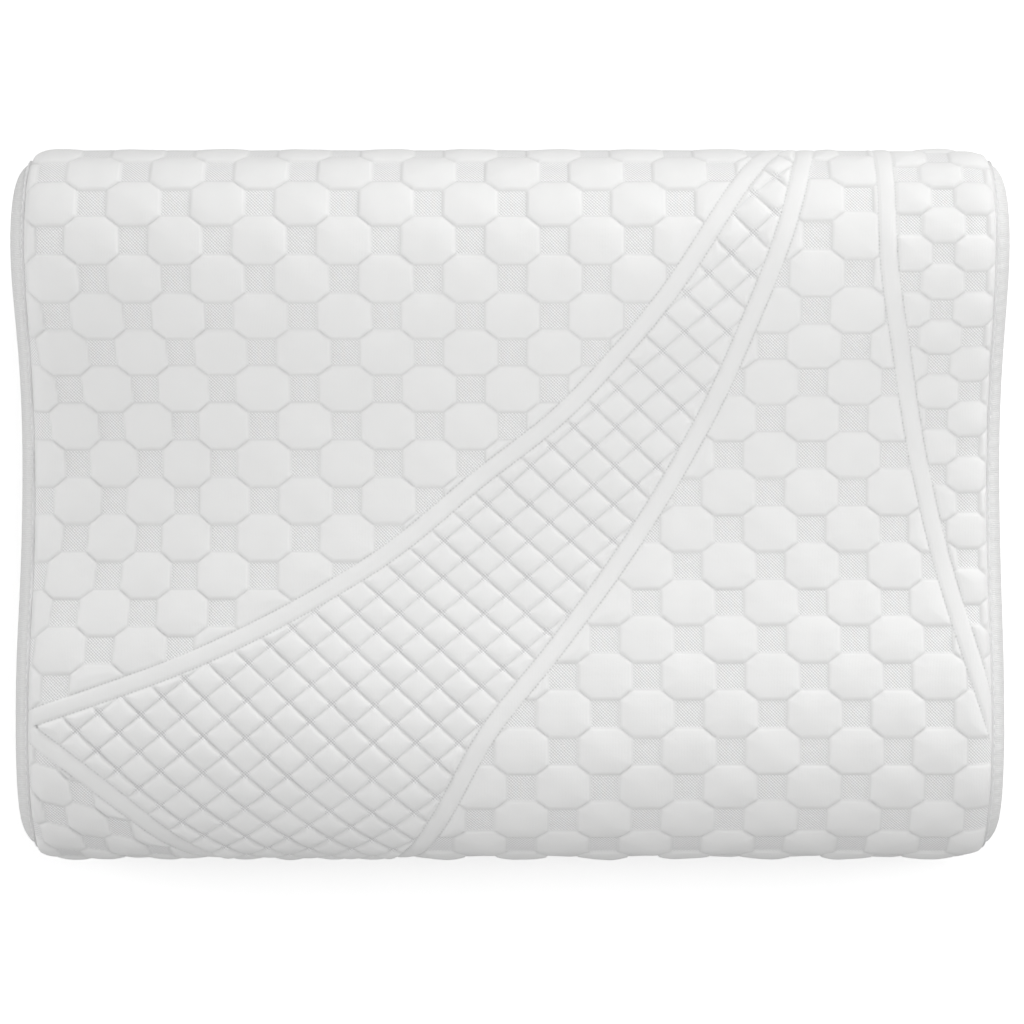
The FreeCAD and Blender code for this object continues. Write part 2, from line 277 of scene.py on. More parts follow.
def diamonds(u, v):
    """Distance inside a diamond from its deep edges and from its shallow edges, and cell noise.
    The weave is not quite square: its columns lean, and its rows climb towards the left end."""
    a, b = PITCH_DIAMOND
    width = 1.0 / sqrt(1.0 / a ** 2 + 1.0 / b ** 2)
    climb = DIAMOND_CLIMB[1] * np.clip(DIAMOND_CLIMB[0] - u, 0.0, None)
    u = SCALE_U * u - DIAMOND_LEAN * v + DIAMOND_SHIFT[0]
    v = (v - climb) * np.where(v > 0, *SCALE_V) + DIAMOND_SHIFT[1]
    p = u / a + v / b - DIAMOND_PHASE[0]
    q = u / a - v / b - DIAMOND_PHASE[1]
    deep = np.abs(p - np.round(p)) * width
    shallow = np.abs(q - np.round(q)) * width
    return deep, shallow, cell_noise(np.floor(p), np.floor(q))


def drawn_in(u, v):
    """The cloth is gathered along the dip at the left end, so its pattern sits further right there."""
    ramp = np.clip((-165.0 - u) / 110.0, 0.0, 1.3)
    return u - 14.0 * ramp ** 1.1 * np.exp(-((v - 8.0) / 85.0) ** 2)


def octagon_puff(depth, cell, radius, noise):
    """Lift of an octagon above the mesh: a crisp rim, then a low dome."""
    return np.where(depth > 0, 0.95 * smooth(cell / 1.2) + (1.7 + 0.25 * noise) * dome(cell, radius), 0.0)


def uneven(u, v, lift):
    """Small irregularities of a soft, sewn cloth."""
    ripple = (0.10 * np.sin(u / 5.3 + v / 9.1 + 2.0 * np.sin(v / 31.0))
              + 0.08 * np.sin(u / 11.0 - v / 6.7 + 2.0 * np.sin(u / 43.0)))
    swell = 0.5 * (1.0 + np.sin(u / 47.0 + 1.3) * np.sin(v / 39.0 + 0.4))
    return lift * (1.0 + ripple) + swell


def quilting(u, v):
    """Everything that varies over the quilted cloth at (u, v)."""
    u = drawn_in(u, v)
    beside = [beside_band(band, u, v) for band in (BAND_1, BAND_2, BAND_3, BAND_4)]
    b1, b2, b3, b4 = (b[0] for b in beside)
    in_a = b1 < 0
    in_d = b4 > 0
    in_c = (b2 > 0) & ~in_d
    in_e = (b3 < 0) & ~in_a
    offsets = np.stack([np.abs(b[0]) for b in beside])
    nearest = np.argmin(offsets, axis=0)
    off_band = np.take_along_axis(offsets, nearest[None], axis=0)[0] - BAND_HALF
    along = np.take_along_axis(np.stack([b[1] for b in beside]), nearest[None], axis=0)[0]

    depth, noise = octagons(u, v, ORIGIN_A, PITCH_LEFT)
    radius = np.full_like(u, 14.0)
    level = (0.0, 0.0)
    for where, origin, pitch, lean, r in ((in_c, ORIGIN_C, PITCH_RIGHT, level, 14.0),
                                          (in_d, ORIGIN_D, PITCH_SMALL, level, 11.0),
                                          (in_e, ORIGIN_E, PITCH_CORNER, CORNER_LEAN, 11.0)):
        d, n = octagons(u, v, origin, pitch, lean)
        depth, noise = np.where(where, d, depth), np.where(where, n, noise)
        radius = np.where(where, r, radius)
    in_octagons = in_a | in_c | in_d | in_e
    octagon_lift = octagon_puff(depth, np.minimum(depth, off_band), radius, noise)
    mesh = smooth(-depth / 0.9) * smooth(off_band / 0.9)

    deep, shallow, diamond_noise = diamonds(u, v)
    rounded = (np.maximum(deep, 0.01) ** -2 + np.maximum(shallow, 0.01) ** -2) ** -0.5
    d_edge = np.minimum(rounded, off_band)
    diamond_lift = (0.35 * smooth(np.minimum(deep, off_band) / 2.0) + 0.85 * smooth(d_edge / 2.4)
                    + (1.8 + 0.3 * diamond_noise) * dome(d_edge, 6.4))
    speck = smooth((4.6 - deep - shallow) / 1.6) * smooth(off_band / 0.9)

    lift = np.where(in_octagons, octagon_lift, diamond_lift)
    mesh = np.where(in_octagons, mesh, speck)
    # Painted shade: a mask, 1 in the grooves between puffs and fading away from them, by which the material
    # darkens the cloth's colour.
    diamond_crease_shade = np.exp(-(np.minimum(deep, shallow * 1.5) / 0.65) ** 2)
    crease_shade = np.where(in_octagons, np.exp(-(depth / 0.6) ** 2), diamond_crease_shade)
    in_band = off_band < 0
    crease_shade = np.where(in_band, 0.0, crease_shade)
    band_lift = 0.7 * smooth(-off_band / 1.4) + 0.75 * dome(-off_band, BAND_HALF)
    lift = np.where(in_band, band_lift, lift)
    mesh = np.where(in_band, 0.0, mesh)
    drawn_flat = smooth((v - 205.0) / 30.0)
    full = uneven(u, v, lift)
    return {"lift": PUFF_BASE + full + 0.55 * drawn_flat * (BACK_LEVEL - full),
            "mesh": mesh * (1.0 - 0.5 * drawn_flat), "off_band": np.abs(off_band) + 2.0 * drawn_flat,
            "along": along, "crease_shade": crease_shade}


def underside_quilting(u, v):
    """The underside is one field of the same octagons, with no bands."""
    depth, noise = octagons(u, v, ORIGIN_A, PITCH_LEFT)
    lift = octagon_puff(depth, depth, 14.0, noise)
    # Its last entry is the mask for the painted shade in the grooves between puffs.
    return {"lift": PUFF_BASE + uneven(u, v, lift), "mesh": smooth(-depth / 0.9),
            "off_band": np.full_like(u, 50.0), "along": np.zeros_like(u),
            "crease_shade": np.exp(-(depth / 0.6) ** 2)}


# ---------------------------------------------------------------- building meshes
def finish_mesh(name, bm, material, body="pillow", smooth_faces=True):
    mesh = bpy.data.meshes.new(name)
    bm.to_mesh(mesh)
    bm.free()
    piece = bpy.data.objects.new(name, mesh)
    bpy.context.collection.objects.link(piece)
    mesh.materials.append(material)
    mesh.polygons.foreach_set("use_smooth", [smooth_faces] * len(mesh.polygons))
    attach(piece, body)
    return piece


def cloth_grid(name, u_range, v_range, spacing, material):
    """A sheet of cloth as an even grid over (u, v), returned with the position of each vertex."""
    columns = round((u_range[1] - u_range[0]) / spacing)
    rows = round((v_range[1] - v_range[0]) / spacing)
    bm = bmesh.new()
    bmesh.ops.create_grid(bm, x_segments=columns, y_segments=rows, size=1.0)
    piece = finish_mesh(name, bm, material)
    flat = np.empty(len(piece.data.vertices) * 3)
    piece.data.vertices.foreach_get("co", flat)
    flat = flat.reshape(-1, 3)
    u = np.interp(flat[:, 0], (-1.0, 1.0), u_range)
    v = np.interp(flat[:, 1], (-1.0, 1.0), v_range)
    return piece, u, v


def place(piece, points):
    piece.data.vertices.foreach_set("co", np.ascontiguousarray(points).ravel())
    piece.data.update()


def store(piece, name, *columns):
    """Keeps one number, or three, at each vertex for the piece's material to read."""
    kind = "FLOAT" if len(columns) == 1 else "FLOAT_VECTOR"
    layer = piece.data.attributes.new(name, kind, "POINT")
    values = np.stack(columns, axis=-1).astype(np.float32).ravel()
    layer.data.foreach_set("value" if len(columns) == 1 else "vector", values)


# ---------------------------------------------------------------- materials
class Nodes:
    """A short way to wire a node material."""

    def __init__(self, name):
        self.material = bpy.data.materials.new(name)
        self.material.use_nodes = True
        self.tree = self.material.node_tree
        self.shader = self.tree.nodes["Principled BSDF"]

    def add(self, kind, **values):
        node = self.tree.nodes.new(kind)
        for key, value in values.items():
            setattr(node, key, value)
        return node

    def link(self, source, target):
        self.tree.links.new(source, target)

    def put(self, socket, value):
        if isinstance(value, bpy.types.NodeSocket):
            self.link(value, socket)
        else:
            socket.default_value = value

    def math(self, operation, a, b=0.0, clamp=False):
        node = self.add("ShaderNodeMath", operation=operation, use_clamp=clamp)
        self.put(node.inputs[0], a)
        self.put(node.inputs[1], b)
        return node.outputs[0]

    def wave(self, value, repeat, phase=0.0):
        """A sine of value, 0 to 1, with that repeat."""
        turned = self.math("MULTIPLY", value, 2 * pi / repeat)
        raised = self.math("SINE", self.math("ADD", turned, phase))
        return self.math("MULTIPLY", self.math("ADD", raised, 1.0), 0.5)

    def mix(self, factor, a, b):
        node = self.add("ShaderNodeMix", data_type="RGBA")
        self.put(node.inputs["Factor"], factor)
        self.put(node.inputs["A"], (*a, 1.0) if isinstance(a, tuple) else a)
        self.put(node.inputs["B"], (*b, 1.0) if isinstance(b, tuple) else b)
        return node.outputs["Result"]

    def attribute(self, name):
        return self.add("ShaderNodeAttribute", attribute_name=name)

    def split(self, vector):
        node = self.add("ShaderNodeSeparateXYZ")
        self.link(vector, node.inputs[0])
        return node.outputs

    def position(self, scale=1.0):
        """The point on the object, in units of metres times scale."""
        coordinates = self.add("ShaderNodeTexCoord")
        mapping = self.add("ShaderNodeMapping")
        mapping.inputs["Scale"].default_value = (scale, scale, scale)
        self.link(coordinates.outputs["Object"], mapping.inputs["Vector"])
        return mapping.outputs["Vector"]

    def noise(self, vector, scale, detail=2.0, rough=0.5):
        node = self.add("ShaderNodeTexNoise")
        self.link(vector, node.inputs["Vector"])
        node.inputs["Scale"].default_value = scale
        node.inputs["Detail"].default_value = detail
        node.inputs["Roughness"].default_value = rough
        return node.outputs["Fac"]

    def bump(self, height, distance, strength=1.0, after=None):
        node = self.add("ShaderNodeBump")
        node.inputs["Distance"].default_value = distance
        node.inputs["Strength"].default_value = strength
        self.link(height, node.inputs["Height"])
        if after is not None:
            self.link(after, node.inputs["Normal"])
        return node.outputs["Normal"]


def quilted_knit():
    """White jacquard knit: fine wales, open mesh in the squares, pricked lines beside the bands. Its colour
    holds painted shade in the grooves between puffs, in the mesh's holes and in the pricks, and painted
    highlight on the mesh's threads.
    """
    n = Nodes("quilted_knit_cloth")
    cloth = n.split(n.attribute("cloth").outputs["Vector"])
    u, v = cloth[0], cloth[1]
    mesh = n.attribute("mesh").outputs["Fac"]
    band = n.split(n.attribute("band").outputs["Vector"])

    falling = n.wave(n.math("ADD", u, v), MESH_REPEAT)
    rising = n.wave(n.math("SUBTRACT", u, v), MESH_REPEAT)
    open_net = n.math("ADD", n.math("MULTIPLY", falling, 0.65), n.math("MULTIPLY", rising, 0.35))
    holes = n.math("MULTIPLY", open_net, mesh)
    near_edge = n.math("SUBTRACT", 1.0, n.math("DIVIDE", band[0], 0.75), clamp=True)
    pricks = n.math("MULTIPLY", near_edge, n.wave(band[1], 2.3))

    where = n.position()
    tone = n.noise(where, 18.0, 3.0)
    fuzz = n.noise(where, 900.0, 2.0)
    light = n.mix(tone, (0.80, 0.80, 0.795), (0.86, 0.86, 0.855))
    # The mesh's open pattern is real, but its holes are painted darker as painted shade and its threads
    # painted lighter than the knit as painted highlight.
    mesh_shade_and_highlight = n.mix(open_net, (1.0, 1.0, 1.0), (0.67, 0.67, 0.67))
    shaded = n.mix(mesh, light, mesh_shade_and_highlight)
    # Painted shade: the colour is darkened along the grooves between puffs.
    crease_shaded = n.mix(n.math("MULTIPLY", band[2], 0.20), shaded, (0.45, 0.45, 0.45))
    # Painted shade: the needle pricks along the bands' edges are painted dark, patchily.
    patchy = n.noise(where, 350.0, 2.0)
    final = n.mix(n.math("MULTIPLY", pricks, n.math("MULTIPLY", patchy, 0.8)), crease_shaded, (0.38, 0.38, 0.38))
    n.link(final, n.shader.inputs["Base Color"])
    n.shader.inputs["Roughness"].default_value = 0.82
    n.shader.inputs["Specular IOR Level"].default_value = 0.25
    n.shader.inputs["Sheen Weight"].default_value = 0.25
    n.shader.inputs["Sheen Roughness"].default_value = 0.5

    wales = n.math("MULTIPLY", n.wave(u, 0.9), n.wave(v, 0.7))
    knit = n.math("MULTIPLY", wales, n.math("SUBTRACT", 1.0, mesh))
    height = n.math("ADD", n.math("MULTIPLY", knit, 0.14), n.math("MULTIPLY", fuzz, 0.2))
    height = n.math("SUBTRACT", height, n.math("MULTIPLY", holes, 0.9))
    height = n.math("SUBTRACT", height, n.math("MULTIPLY", pricks, 0.9))
    n.link(n.bump(height, 0.00035), n.shader.inputs["Normal"])
    return n.material


def plain_knit():
    """White single jersey on the ends: upright wales with fine courses across them."""
    n = Nodes("plain_knit_cloth")
    cloth = n.split(n.attribute("cloth").outputs["Vector"])
    wale = n.wave(cloth[0], 1.15)
    drooped = n.math("MULTIPLY", n.math("ABSOLUTE", n.math("SUBTRACT", wale, 0.5)), 0.5)
    course = n.wave(n.math("ADD", cloth[1], drooped), 0.85)
    where = n.position()
    tone = n.noise(where, 22.0, 3.0)
    fuzz = n.noise(where, 1100.0, 2.0)
    light = n.mix(tone, (0.80, 0.80, 0.795), (0.86, 0.86, 0.855))
    # Painted shade: the furrows between the wales are painted darker.
    furrow = n.math("MULTIPLY", n.math("SUBTRACT", 1.0, wale), 0.16)
    n.link(n.mix(furrow, light, (0.52, 0.52, 0.52)), n.shader.inputs["Base Color"])
    n.shader.inputs["Roughness"].default_value = 0.85
    n.shader.inputs["Specular IOR Level"].default_value = 0.22
    n.shader.inputs["Sheen Weight"].default_value = 0.2
    n.shader.inputs["Sheen Roughness"].default_value = 0.5
    loops = n.math("MULTIPLY", n.math("MULTIPLY", course, wale), 0.5)
    height = n.math("ADD", n.math("MULTIPLY", wale, 0.7), loops)
    height = n.math("ADD", height, n.math("MULTIPLY", fuzz, 0.25))
    n.link(n.bump(height, 0.00016), n.shader.inputs["Normal"])
    return n.material


def thread_like(name, dark, light, grain, roughness, relief):
    """A fine fibrous finish: a cloudy tone between two greys and a small rough grain."""
    n = Nodes(name)
    where = n.position()
    n.link(n.mix(n.noise(where, 40.0, 3.0), (dark,) * 3, (light,) * 3), n.shader.inputs["Base Color"])
    n.shader.inputs["Roughness"].default_value = roughness
    n.shader.inputs["Specular IOR Level"].default_value = 0.3
    n.link(n.bump(n.noise(where, grain, 4.0, 0.65), relief), n.shader.inputs["Normal"])
    return n


def welt_tape():
    """Bright narrow ribbed tape folded into the end seams."""
    n = thread_like("welt_tape_weave", 0.80, 0.87, 1500.0, 0.8, 0.0003)
    n.shader.inputs["Sheen Weight"].default_value = 0.2
    return n.material


def sewing_thread():
    """Glossy white polyester thread."""
    n = thread_like("sewing_thread", 0.86, 0.92, 2600.0, 0.45, 0.0001)
    n.shader.inputs["Specular IOR Level"].default_value = 0.5
    return n.material


def wadding_fibre():
    """Polyester wadding: long tangled fibres."""
    n = thread_like("wadding_fibre", 0.78, 0.90, 700.0, 0.95, 0.0012)
    n.shader.inputs["Sheen Weight"].default_value = 0.5
    return n.material


def woven(name, axes, repeat, dark, light, roughness, relief):
    """A plain weave on two of the object's axes, with that repeat in millimetres."""
    n = Nodes(name)
    place_mm = n.split(n.position(1000.0))
    across, up = n.wave(place_mm[axes[0]], repeat), n.wave(place_mm[axes[1]], repeat)
    over = n.math("ABSOLUTE", n.math("SUBTRACT", across, up))
    n.link(n.mix(over, (dark,) * 3, (light,) * 3), n.shader.inputs["Base Color"])
    n.shader.inputs["Roughness"].default_value = roughness
    n.shader.inputs["Specular IOR Level"].default_value = 0.3
    n.link(n.bump(over, relief), n.shader.inputs["Normal"])
    return n


def scrim_weave():
    return woven("scrim_weave", (0, 1), 1.4, 0.62, 0.84, 0.9, 0.0004).material


def tape_weave():
    """Herringbone-like zip tape, ribbed along its length."""
    return woven("zip_tape_weave", (0, 2), 0.8, 0.66, 0.86, 0.75, 0.0003).material


def liner_knit():
    """Stockinette: upright wales round the foam."""
    return woven("liner_stockinette", (0, 2), 1.1, 0.70, 0.84, 0.9, 0.0003).material


def foam_cells():
    """Moulded memory foam: pale, with fine open cells, and a few larger pores in its skin painted dark as
    painted shade.
    """
    n = Nodes("moulded_foam")
    where = n.position()
    cells = n.add("ShaderNodeTexVoronoi")
    n.link(where, cells.inputs["Vector"])
    cells.inputs["Scale"].default_value = 900.0
    # Painted shade: a few larger pores are painted dark.
    pores = n.math("LESS_THAN", n.noise(where, 160.0, 1.0), 0.30)
    light = n.mix(n.noise(where, 12.0, 3.0), (0.80, 0.77, 0.68), (0.87, 0.85, 0.77))
    n.link(n.mix(n.math("MULTIPLY", pores, 0.5), light, (0.50, 0.47, 0.40)), n.shader.inputs["Base Color"])
    n.shader.inputs["Roughness"].default_value = 0.95
    n.shader.inputs["Specular IOR Level"].default_value = 0.2
    n.link(n.bump(cells.outputs["Distance"], 0.0006), n.shader.inputs["Normal"])
    return n.material


def coil_nylon():
    """Slightly clear white nylon of the zip's coils."""
    n = thread_like("coil_nylon", 0.80, 0.88, 900.0, 0.35, 0.00008)
    n.shader.inputs["Specular IOR Level"].default_value = 0.5
    n.shader.inputs["Subsurface Weight"].default_value = 0.15
    n.shader.inputs["Subsurface Scale"].default_value = 0.001
    return n.material


def zip_metal():
    """Nickel-plated zinc, brushed along the chain and a little worn."""
    n = Nodes("nickel_plate")
    where = n.position(1.0)
    drag = n.add("ShaderNodeMapping")
    drag.inputs["Scale"].default_value = (0.06, 1.0, 1.0)
    n.link(where, drag.inputs["Vector"])
    brush = n.noise(drag.outputs["Vector"], 4500.0, 3.0, 0.6)
    wear = n.noise(where, 420.0, 4.0, 0.6)
    n.link(n.mix(wear, (0.60, 0.60, 0.61), (0.78, 0.78, 0.77)), n.shader.inputs["Base Color"])
    n.link(n.math("ADD", 0.18, n.math("MULTIPLY", brush, 0.26)), n.shader.inputs["Roughness"])
    n.shader.inputs["Metallic"].default_value = 1.0
    n.link(n.bump(brush, 0.00002), n.shader.inputs["Normal"])
    return n.material


def label_satin():
    """White satin ribbon with a tighter woven edge down each side."""
    n = Nodes("label_satin")
    spot = n.split(n.position(1000.0))
    middle = (LABEL_X[0] + LABEL_X[1]) / 2
    edge = n.math("GREATER_THAN", n.math("ABSOLUTE", n.math("SUBTRACT", spot[0], middle)), 7.2)
    float_yarn = n.wave(n.math("ADD", spot[2], n.math("MULTIPLY", spot[0], 0.25)), 0.42)
    rib = n.wave(spot[2], 0.9)
    light = n.mix(float_yarn, (0.80, 0.80, 0.80), (0.90, 0.90, 0.89))
    n.link(n.mix(n.math("MULTIPLY", edge, n.math("MULTIPLY", rib, 0.5)), light, (0.6, 0.6, 0.6)),
           n.shader.inputs["Base Color"])
    n.shader.inputs["Roughness"].default_value = 0.38
    n.shader.inputs["Sheen Weight"].default_value = 0.2
    n.link(n.bump(float_yarn, 0.0001), n.shader.inputs["Normal"])
    return n.material


def studio_floor():
    n = Nodes("studio_floor")
    tone = n.noise(n.position(), 3.0)
    n.link(n.mix(tone, (0.93, 0.93, 0.93), (0.95, 0.95, 0.95)), n.shader.inputs["Base Color"])
    n.shader.inputs["Roughness"].default_value = 0.9
    n.shader.inputs["Emission Color"].default_value = (1.0, 1.0, 1.0, 1.0)
    n.shader.inputs["Emission Strength"].default_value = 0.40
    return n.material


# ---------------------------------------------------------------- the cover's long panels
def slot_here(u):
    """1 along the zip's slot, 0 beyond its ends."""
    return smooth((SLOT_END + 1.5 - np.abs(u)) / 3.0)


def hem(distance):
    """The cloth turns under in the last millimetre before an edge."""
    return -0.4 * (1.0 - np.clip(distance / 1.3, 0.0, 1.0)) ** 2


def quilted_panel(name, v_range, spacing, material, node, pattern, zip_edge, flatten):
    """A quilted long panel, thinned towards its seams, with one edge drawn back along the zip."""
    piece, u, v = cloth_grid(name, (-U_SEAM, U_SEAM), v_range, spacing, material)
    from_zip = np.abs(v - v_range[zip_edge])
    inward = -1.0 if zip_edge else 1.0
    v = v + inward * SLOT_HALF * slot_here(u) * smooth((12.0 - from_zip) / 12.0)
    cloth = pattern(u, v)
    to_end = U_SEAM - np.abs(u)
    to_edge = np.minimum(np.abs(v - v_range[1 - zip_edge]), from_zip)
    lift = PUFF_BASE + (cloth["lift"] - PUFF_BASE) * smooth(to_end / 5.0) * smooth(to_edge / 6.0)
    lift = lift + hem(to_edge) + hem(to_end)
    place(piece, surface(u, v, flatten(v, lift)))
    store(piece, "cloth", u, v, np.zeros_like(u))
    store(piece, "mesh", cloth["mesh"])
    # The band attribute's third number is the mask for the painted shade in the grooves between puffs.
    store(piece, "band", cloth["off_band"], cloth["along"], cloth["crease_shade"])
    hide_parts(node)
    return piece


def free_puffs(v, lift):
    return lift


def resting_puffs(v, lift):
    """On the flat base the pillow's weight presses the puffs level with what it lies on."""
    height = on_profile(v)[1]
    on_base = smooth((9.0 - height) / 9.0)
    pressed = -np.log1p(np.exp(-(lift - 0.5) * 2.6)) / 2.6
    return lift * (1.0 - on_base) + pressed * on_base


# ---------------------------------------------------------------- skins that close round the pillow
def closed_skin(name, stations, half_count, material, lift_at, flat_attribute=False):
    """A skin all round the pillow between the first and last station of u. Past the rim it runs over
    the end's flat face, and where it reaches that face's middle line it closes on it."""
    stations = np.array(stations, float)
    bm = bmesh.new()
    bmesh.ops.create_grid(bm, x_segments=len(stations) - 1, y_segments=2 * half_count, size=1.0)
    piece = finish_mesh(name, bm, material)
    flat = np.empty(len(piece.data.vertices) * 3)
    piece.data.vertices.foreach_get("co", flat)
    flat = flat.reshape(-1, 3)
    u = np.interp((flat[:, 0] + 1.0) / 2.0 * (len(stations) - 1), np.arange(len(stations)), stations)
    turn = flat[:, 1] + 1.0
    v = np.interp(turn, (0.0, 1.0, 2.0), (V_FRONT_TIP, V_BACK_TIP, V_FRONT_TIP + GIRTH))
    across = 1.0 - np.abs(1.0 - turn)
    lift = lift_at(u, v)
    points = surface(np.clip(u, -RIM_U, RIM_U), v, lift)
    inward = np.clip((np.abs(u) - RIM_U) / FACE_REACH, 0.0, 1.0)[:, None]
    furthest = stations[np.argmax(np.abs(stations))]
    inner = float(np.mean(lift_at(np.full(50, furthest), np.linspace(0.0, GIRTH, 50))))
    middle_x = np.sign(u) * (LENGTH / 2 + inner)
    eased = smooth(inward[:, 0])
    x = points[:, 0] * (1.0 - eased) + middle_x * MM * eased
    y = points[:, 1] * (1.0 - inward[:, 0]) + (2.0 * across - 1.0) * SPINE_HALF * MM * inward[:, 0]
    z = points[:, 2] * (1.0 - inward[:, 0]) + SPINE_Z * MM * inward[:, 0]
    points = np.stack([x, y, z], axis=1)
    place(piece, points)
    if flat_attribute:
        store_unrolled(piece, u, v, points)
    weld(piece)
    return piece


def store_unrolled(piece, u, v, points):
    """Keeps each point's place on the end panel as it was cut: its rounding rolled out flat."""
    y, z, ny, nz = on_profile(v)
    over = np.clip((np.abs(u) - ROUND_FROM) / END_R, 0.0, pi / 2)
    out = END_R * (pi / 2 - over) - END_R
    rounded = np.abs(u) < RIM_U
    store(piece, "cloth", np.where(rounded, y + ny * out, points[:, 1] / MM),
          np.where(rounded, z + nz * out, points[:, 2] / MM), np.zeros_like(u))


def weld(piece):
    """Joins the skin to itself where it comes round, and along the end's middle line."""
    bm = bmesh.new()
    bm.from_mesh(piece.data)
    bmesh.ops.remove_doubles(bm, verts=bm.verts, dist=1e-6)
    bm.to_mesh(piece.data)
    bm.free()


def end_lift(u, v):
    """An end panel: gathered a little where it leaves the welt, then gently filled."""
    from_seam = np.abs(u) - U_WELT_OUT
    fine = 0.26 * np.sin(v / 1.15 + 1.7 * np.sin(v / 17.0))
    broad = 0.16 * np.sin(v / 2.3 + 2.0 * np.sin(v / 29.0))
    gathers = (fine + broad) * np.exp(-from_seam / 7.0) * smooth(from_seam / 1.5)
    fullness = 0.75 * smooth((np.abs(u) - RIM_U) / FACE_REACH)
    slack = 0.35 * np.sin(v / 33.0 + np.abs(u) / 9.0) * smooth(from_seam / 14.0)
    return -0.55 + 0.75 * smooth(from_seam / 3.5) + gathers + fullness + slack + hem(from_seam)


def welt_lift(u, v):
    """Two fine ridges, the inner one higher, with the end seam's furrow between them."""
    across = (np.abs(u) - U_SEAM) / (U_WELT_OUT - U_SEAM)
    inner = np.exp(-((across - 0.28) / 0.20) ** 2)
    outer = np.exp(-((across - 0.82) / 0.16) ** 2)
    drawn = 1.0 + 0.14 * np.sin(v / 0.75 + 1.3 * np.sin(v / 19.0))
    return -1.1 + (1.75 * inner + 1.0 * outer) * drawn


def end_of_cover(side, name, knit, welt):
    """One end: its plain knit panel, and the welt between that and the quilting."""
    rounding = np.linspace(U_WELT_OUT - 0.3, RIM_U, 15)
    face = np.concatenate([rounding, np.linspace(RIM_U, RIM_U + FACE_REACH, 15)[1:]])
    ridge = np.linspace(U_SEAM - 0.5, U_WELT_OUT + 0.5, 13)
    if side < 0:
        face, ridge = -face[::-1], -ridge[::-1]
    panel = closed_skin("end_cloth_" + name, face, 380, knit, end_lift, flat_attribute=True)
    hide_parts("end_panel_" + name)
    strip = closed_skin("welt_" + name, ridge, 420, welt, welt_lift)
    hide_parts("seam_welt_" + name)


# ---------------------------------------------------------------- inside the cover
def inner_layers():
    """Wadding and scrim behind each long panel, the liner, and the foam."""
    fibre, weave = wadding_fibre(), scrim_weave()
    spans = {"top": (V_FRONT_SEAM + 2.0, V_BACK_SEAM - 6.0),
             "bottom": (V_BACK_SEAM + 6.0, V_FRONT_SEAM + GIRTH - 2.0)}
    for side, span in spans.items():
        pattern = quilting if side == "top" else underside_quilting
        for kind, depth, thickness, puff, material in (("wadding", -1.75, 1.3, 0.35, fibre),
                                                       ("backing", -3.45, 0.3, 0.0, weave)):
            piece, u, v = cloth_grid(f"{side}_{kind}", (-U_SEAM + 2.0, U_SEAM - 2.0), span, 5.0, material)
            lift = depth + puff * np.clip(pattern(u, v)["lift"], 0.0, 1.2)
            place(piece, surface(u, v, resting_puffs(v, lift) if side == "bottom" else lift))
            wall = piece.modifiers.new("thickness", "SOLIDIFY")
            wall.thickness = thickness * MM
            wall.offset = -1.0
            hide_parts(f"cover_{side}_{kind}")
    over_end = [RIM_U + FACE_REACH * step / 6 for step in range(6, 0, -1)]
    rounding = list(np.linspace(RIM_U, ROUND_FROM, 9))
    half = over_end + rounding
    stations = [-u for u in half] + list(np.linspace(-ROUND_FROM, ROUND_FROM, 61)[1:-1]) + half[::-1]
    cores = (("liner_sock", -4.15, liner_knit(), "inner_liner", "liner_knit"),
             ("foam_block", -4.75, foam_cells(), "foam_core", "foam"))
    for name, depth, material, node, slot in cores:
        piece = closed_skin(name, stations, 130, material, lambda u, v, d=depth: np.full_like(u, d))
        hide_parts(node)


# ---------------------------------------------------------------- stitching
def stitch(bm, u, v, along_u, along_v, length, thick, lift):
    """One thread of a seam, lying on the cloth at (u, v) and pointing along (along_u, along_v)."""
    here, ahead = surface(np.array([u, u + along_u]), np.array([v, v + along_v]), np.full(2, lift))
    higher = surface(np.array([u]), np.array([v]), np.array([lift + 1.0]))[0]
    along = Vector(ahead - here).normalized()
    up = Vector(higher - here).normalized()
    side = up.cross(along).normalized()
    axes = (along * length / 2 * MM, side * thick / 2 * MM, up * thick / 2 * MM)
    stance = Matrix.Translation(Vector(here)) @ Matrix(axes).transposed().to_4x4()
    bmesh.ops.create_icosphere(bm, subdivisions=1, radius=1.0, matrix=stance)


def stitch_line(bm, start, end, pitch, fill, thick, lift):
    """A row of stitches from one (u, v) to another."""
    du, dv = end[0] - start[0], end[1] - start[1]
    count = round(hypot(du, dv) / pitch)
    for step in range(count):
        share = (step + 0.5) / count
        u, v = start[0] + du * share, start[1] + dv * share
        stitch(bm, u, v, du / count, dv / count, pitch * fill, thick, lift)


def seam_stitches():
    """Thread in the welts, beside the front seam, along both hems of the zip, and across its ends."""
    thread = sewing_thread()
    for side, name in ((-1, "left"), (1, "right")):
        bm = bmesh.new()
        u = side * (U_SEAM + 0.18 * (U_WELT_OUT - U_SEAM))
        stitch_line(bm, (u, V_FRONT_TIP), (u, V_FRONT_TIP + GIRTH), 5.2, 0.72, 0.62, 0.62)
        finish_mesh("welt_stitches_" + name, bm, thread)
    bm = bmesh.new()
    for v in (V_FRONT_SEAM + 3.0, V_FRONT_SEAM - 3.0):
        stitch_line(bm, (-U_SEAM + 4.0, v), (U_SEAM - 4.0, v), 3.4, 0.74, 0.5, PUFF_BASE + 0.35)
    finish_mesh("front_seam_stitches", bm, thread)
    bm = bmesh.new()
    for side in (-1, 1):
        v = V_BACK_SEAM + side * (SLOT_HALF + 2.2)
        stitch_line(bm, (-SLOT_END - 2.0, v), (SLOT_END + 2.0, v), 3.2, 0.74, 0.5, PUFF_BASE + 0.25)
        for row in (-0.5, 0.0, 0.5):
            u = side * (SLOT_END + 3.0) + row
            stitch_line(bm, (u, V_BACK_SEAM - 6.0), (u, V_BACK_SEAM + 6.0), 1.1, 1.1, 0.5, PUFF_BASE + 0.3)
    finish_mesh("zip_stitches", bm, thread)


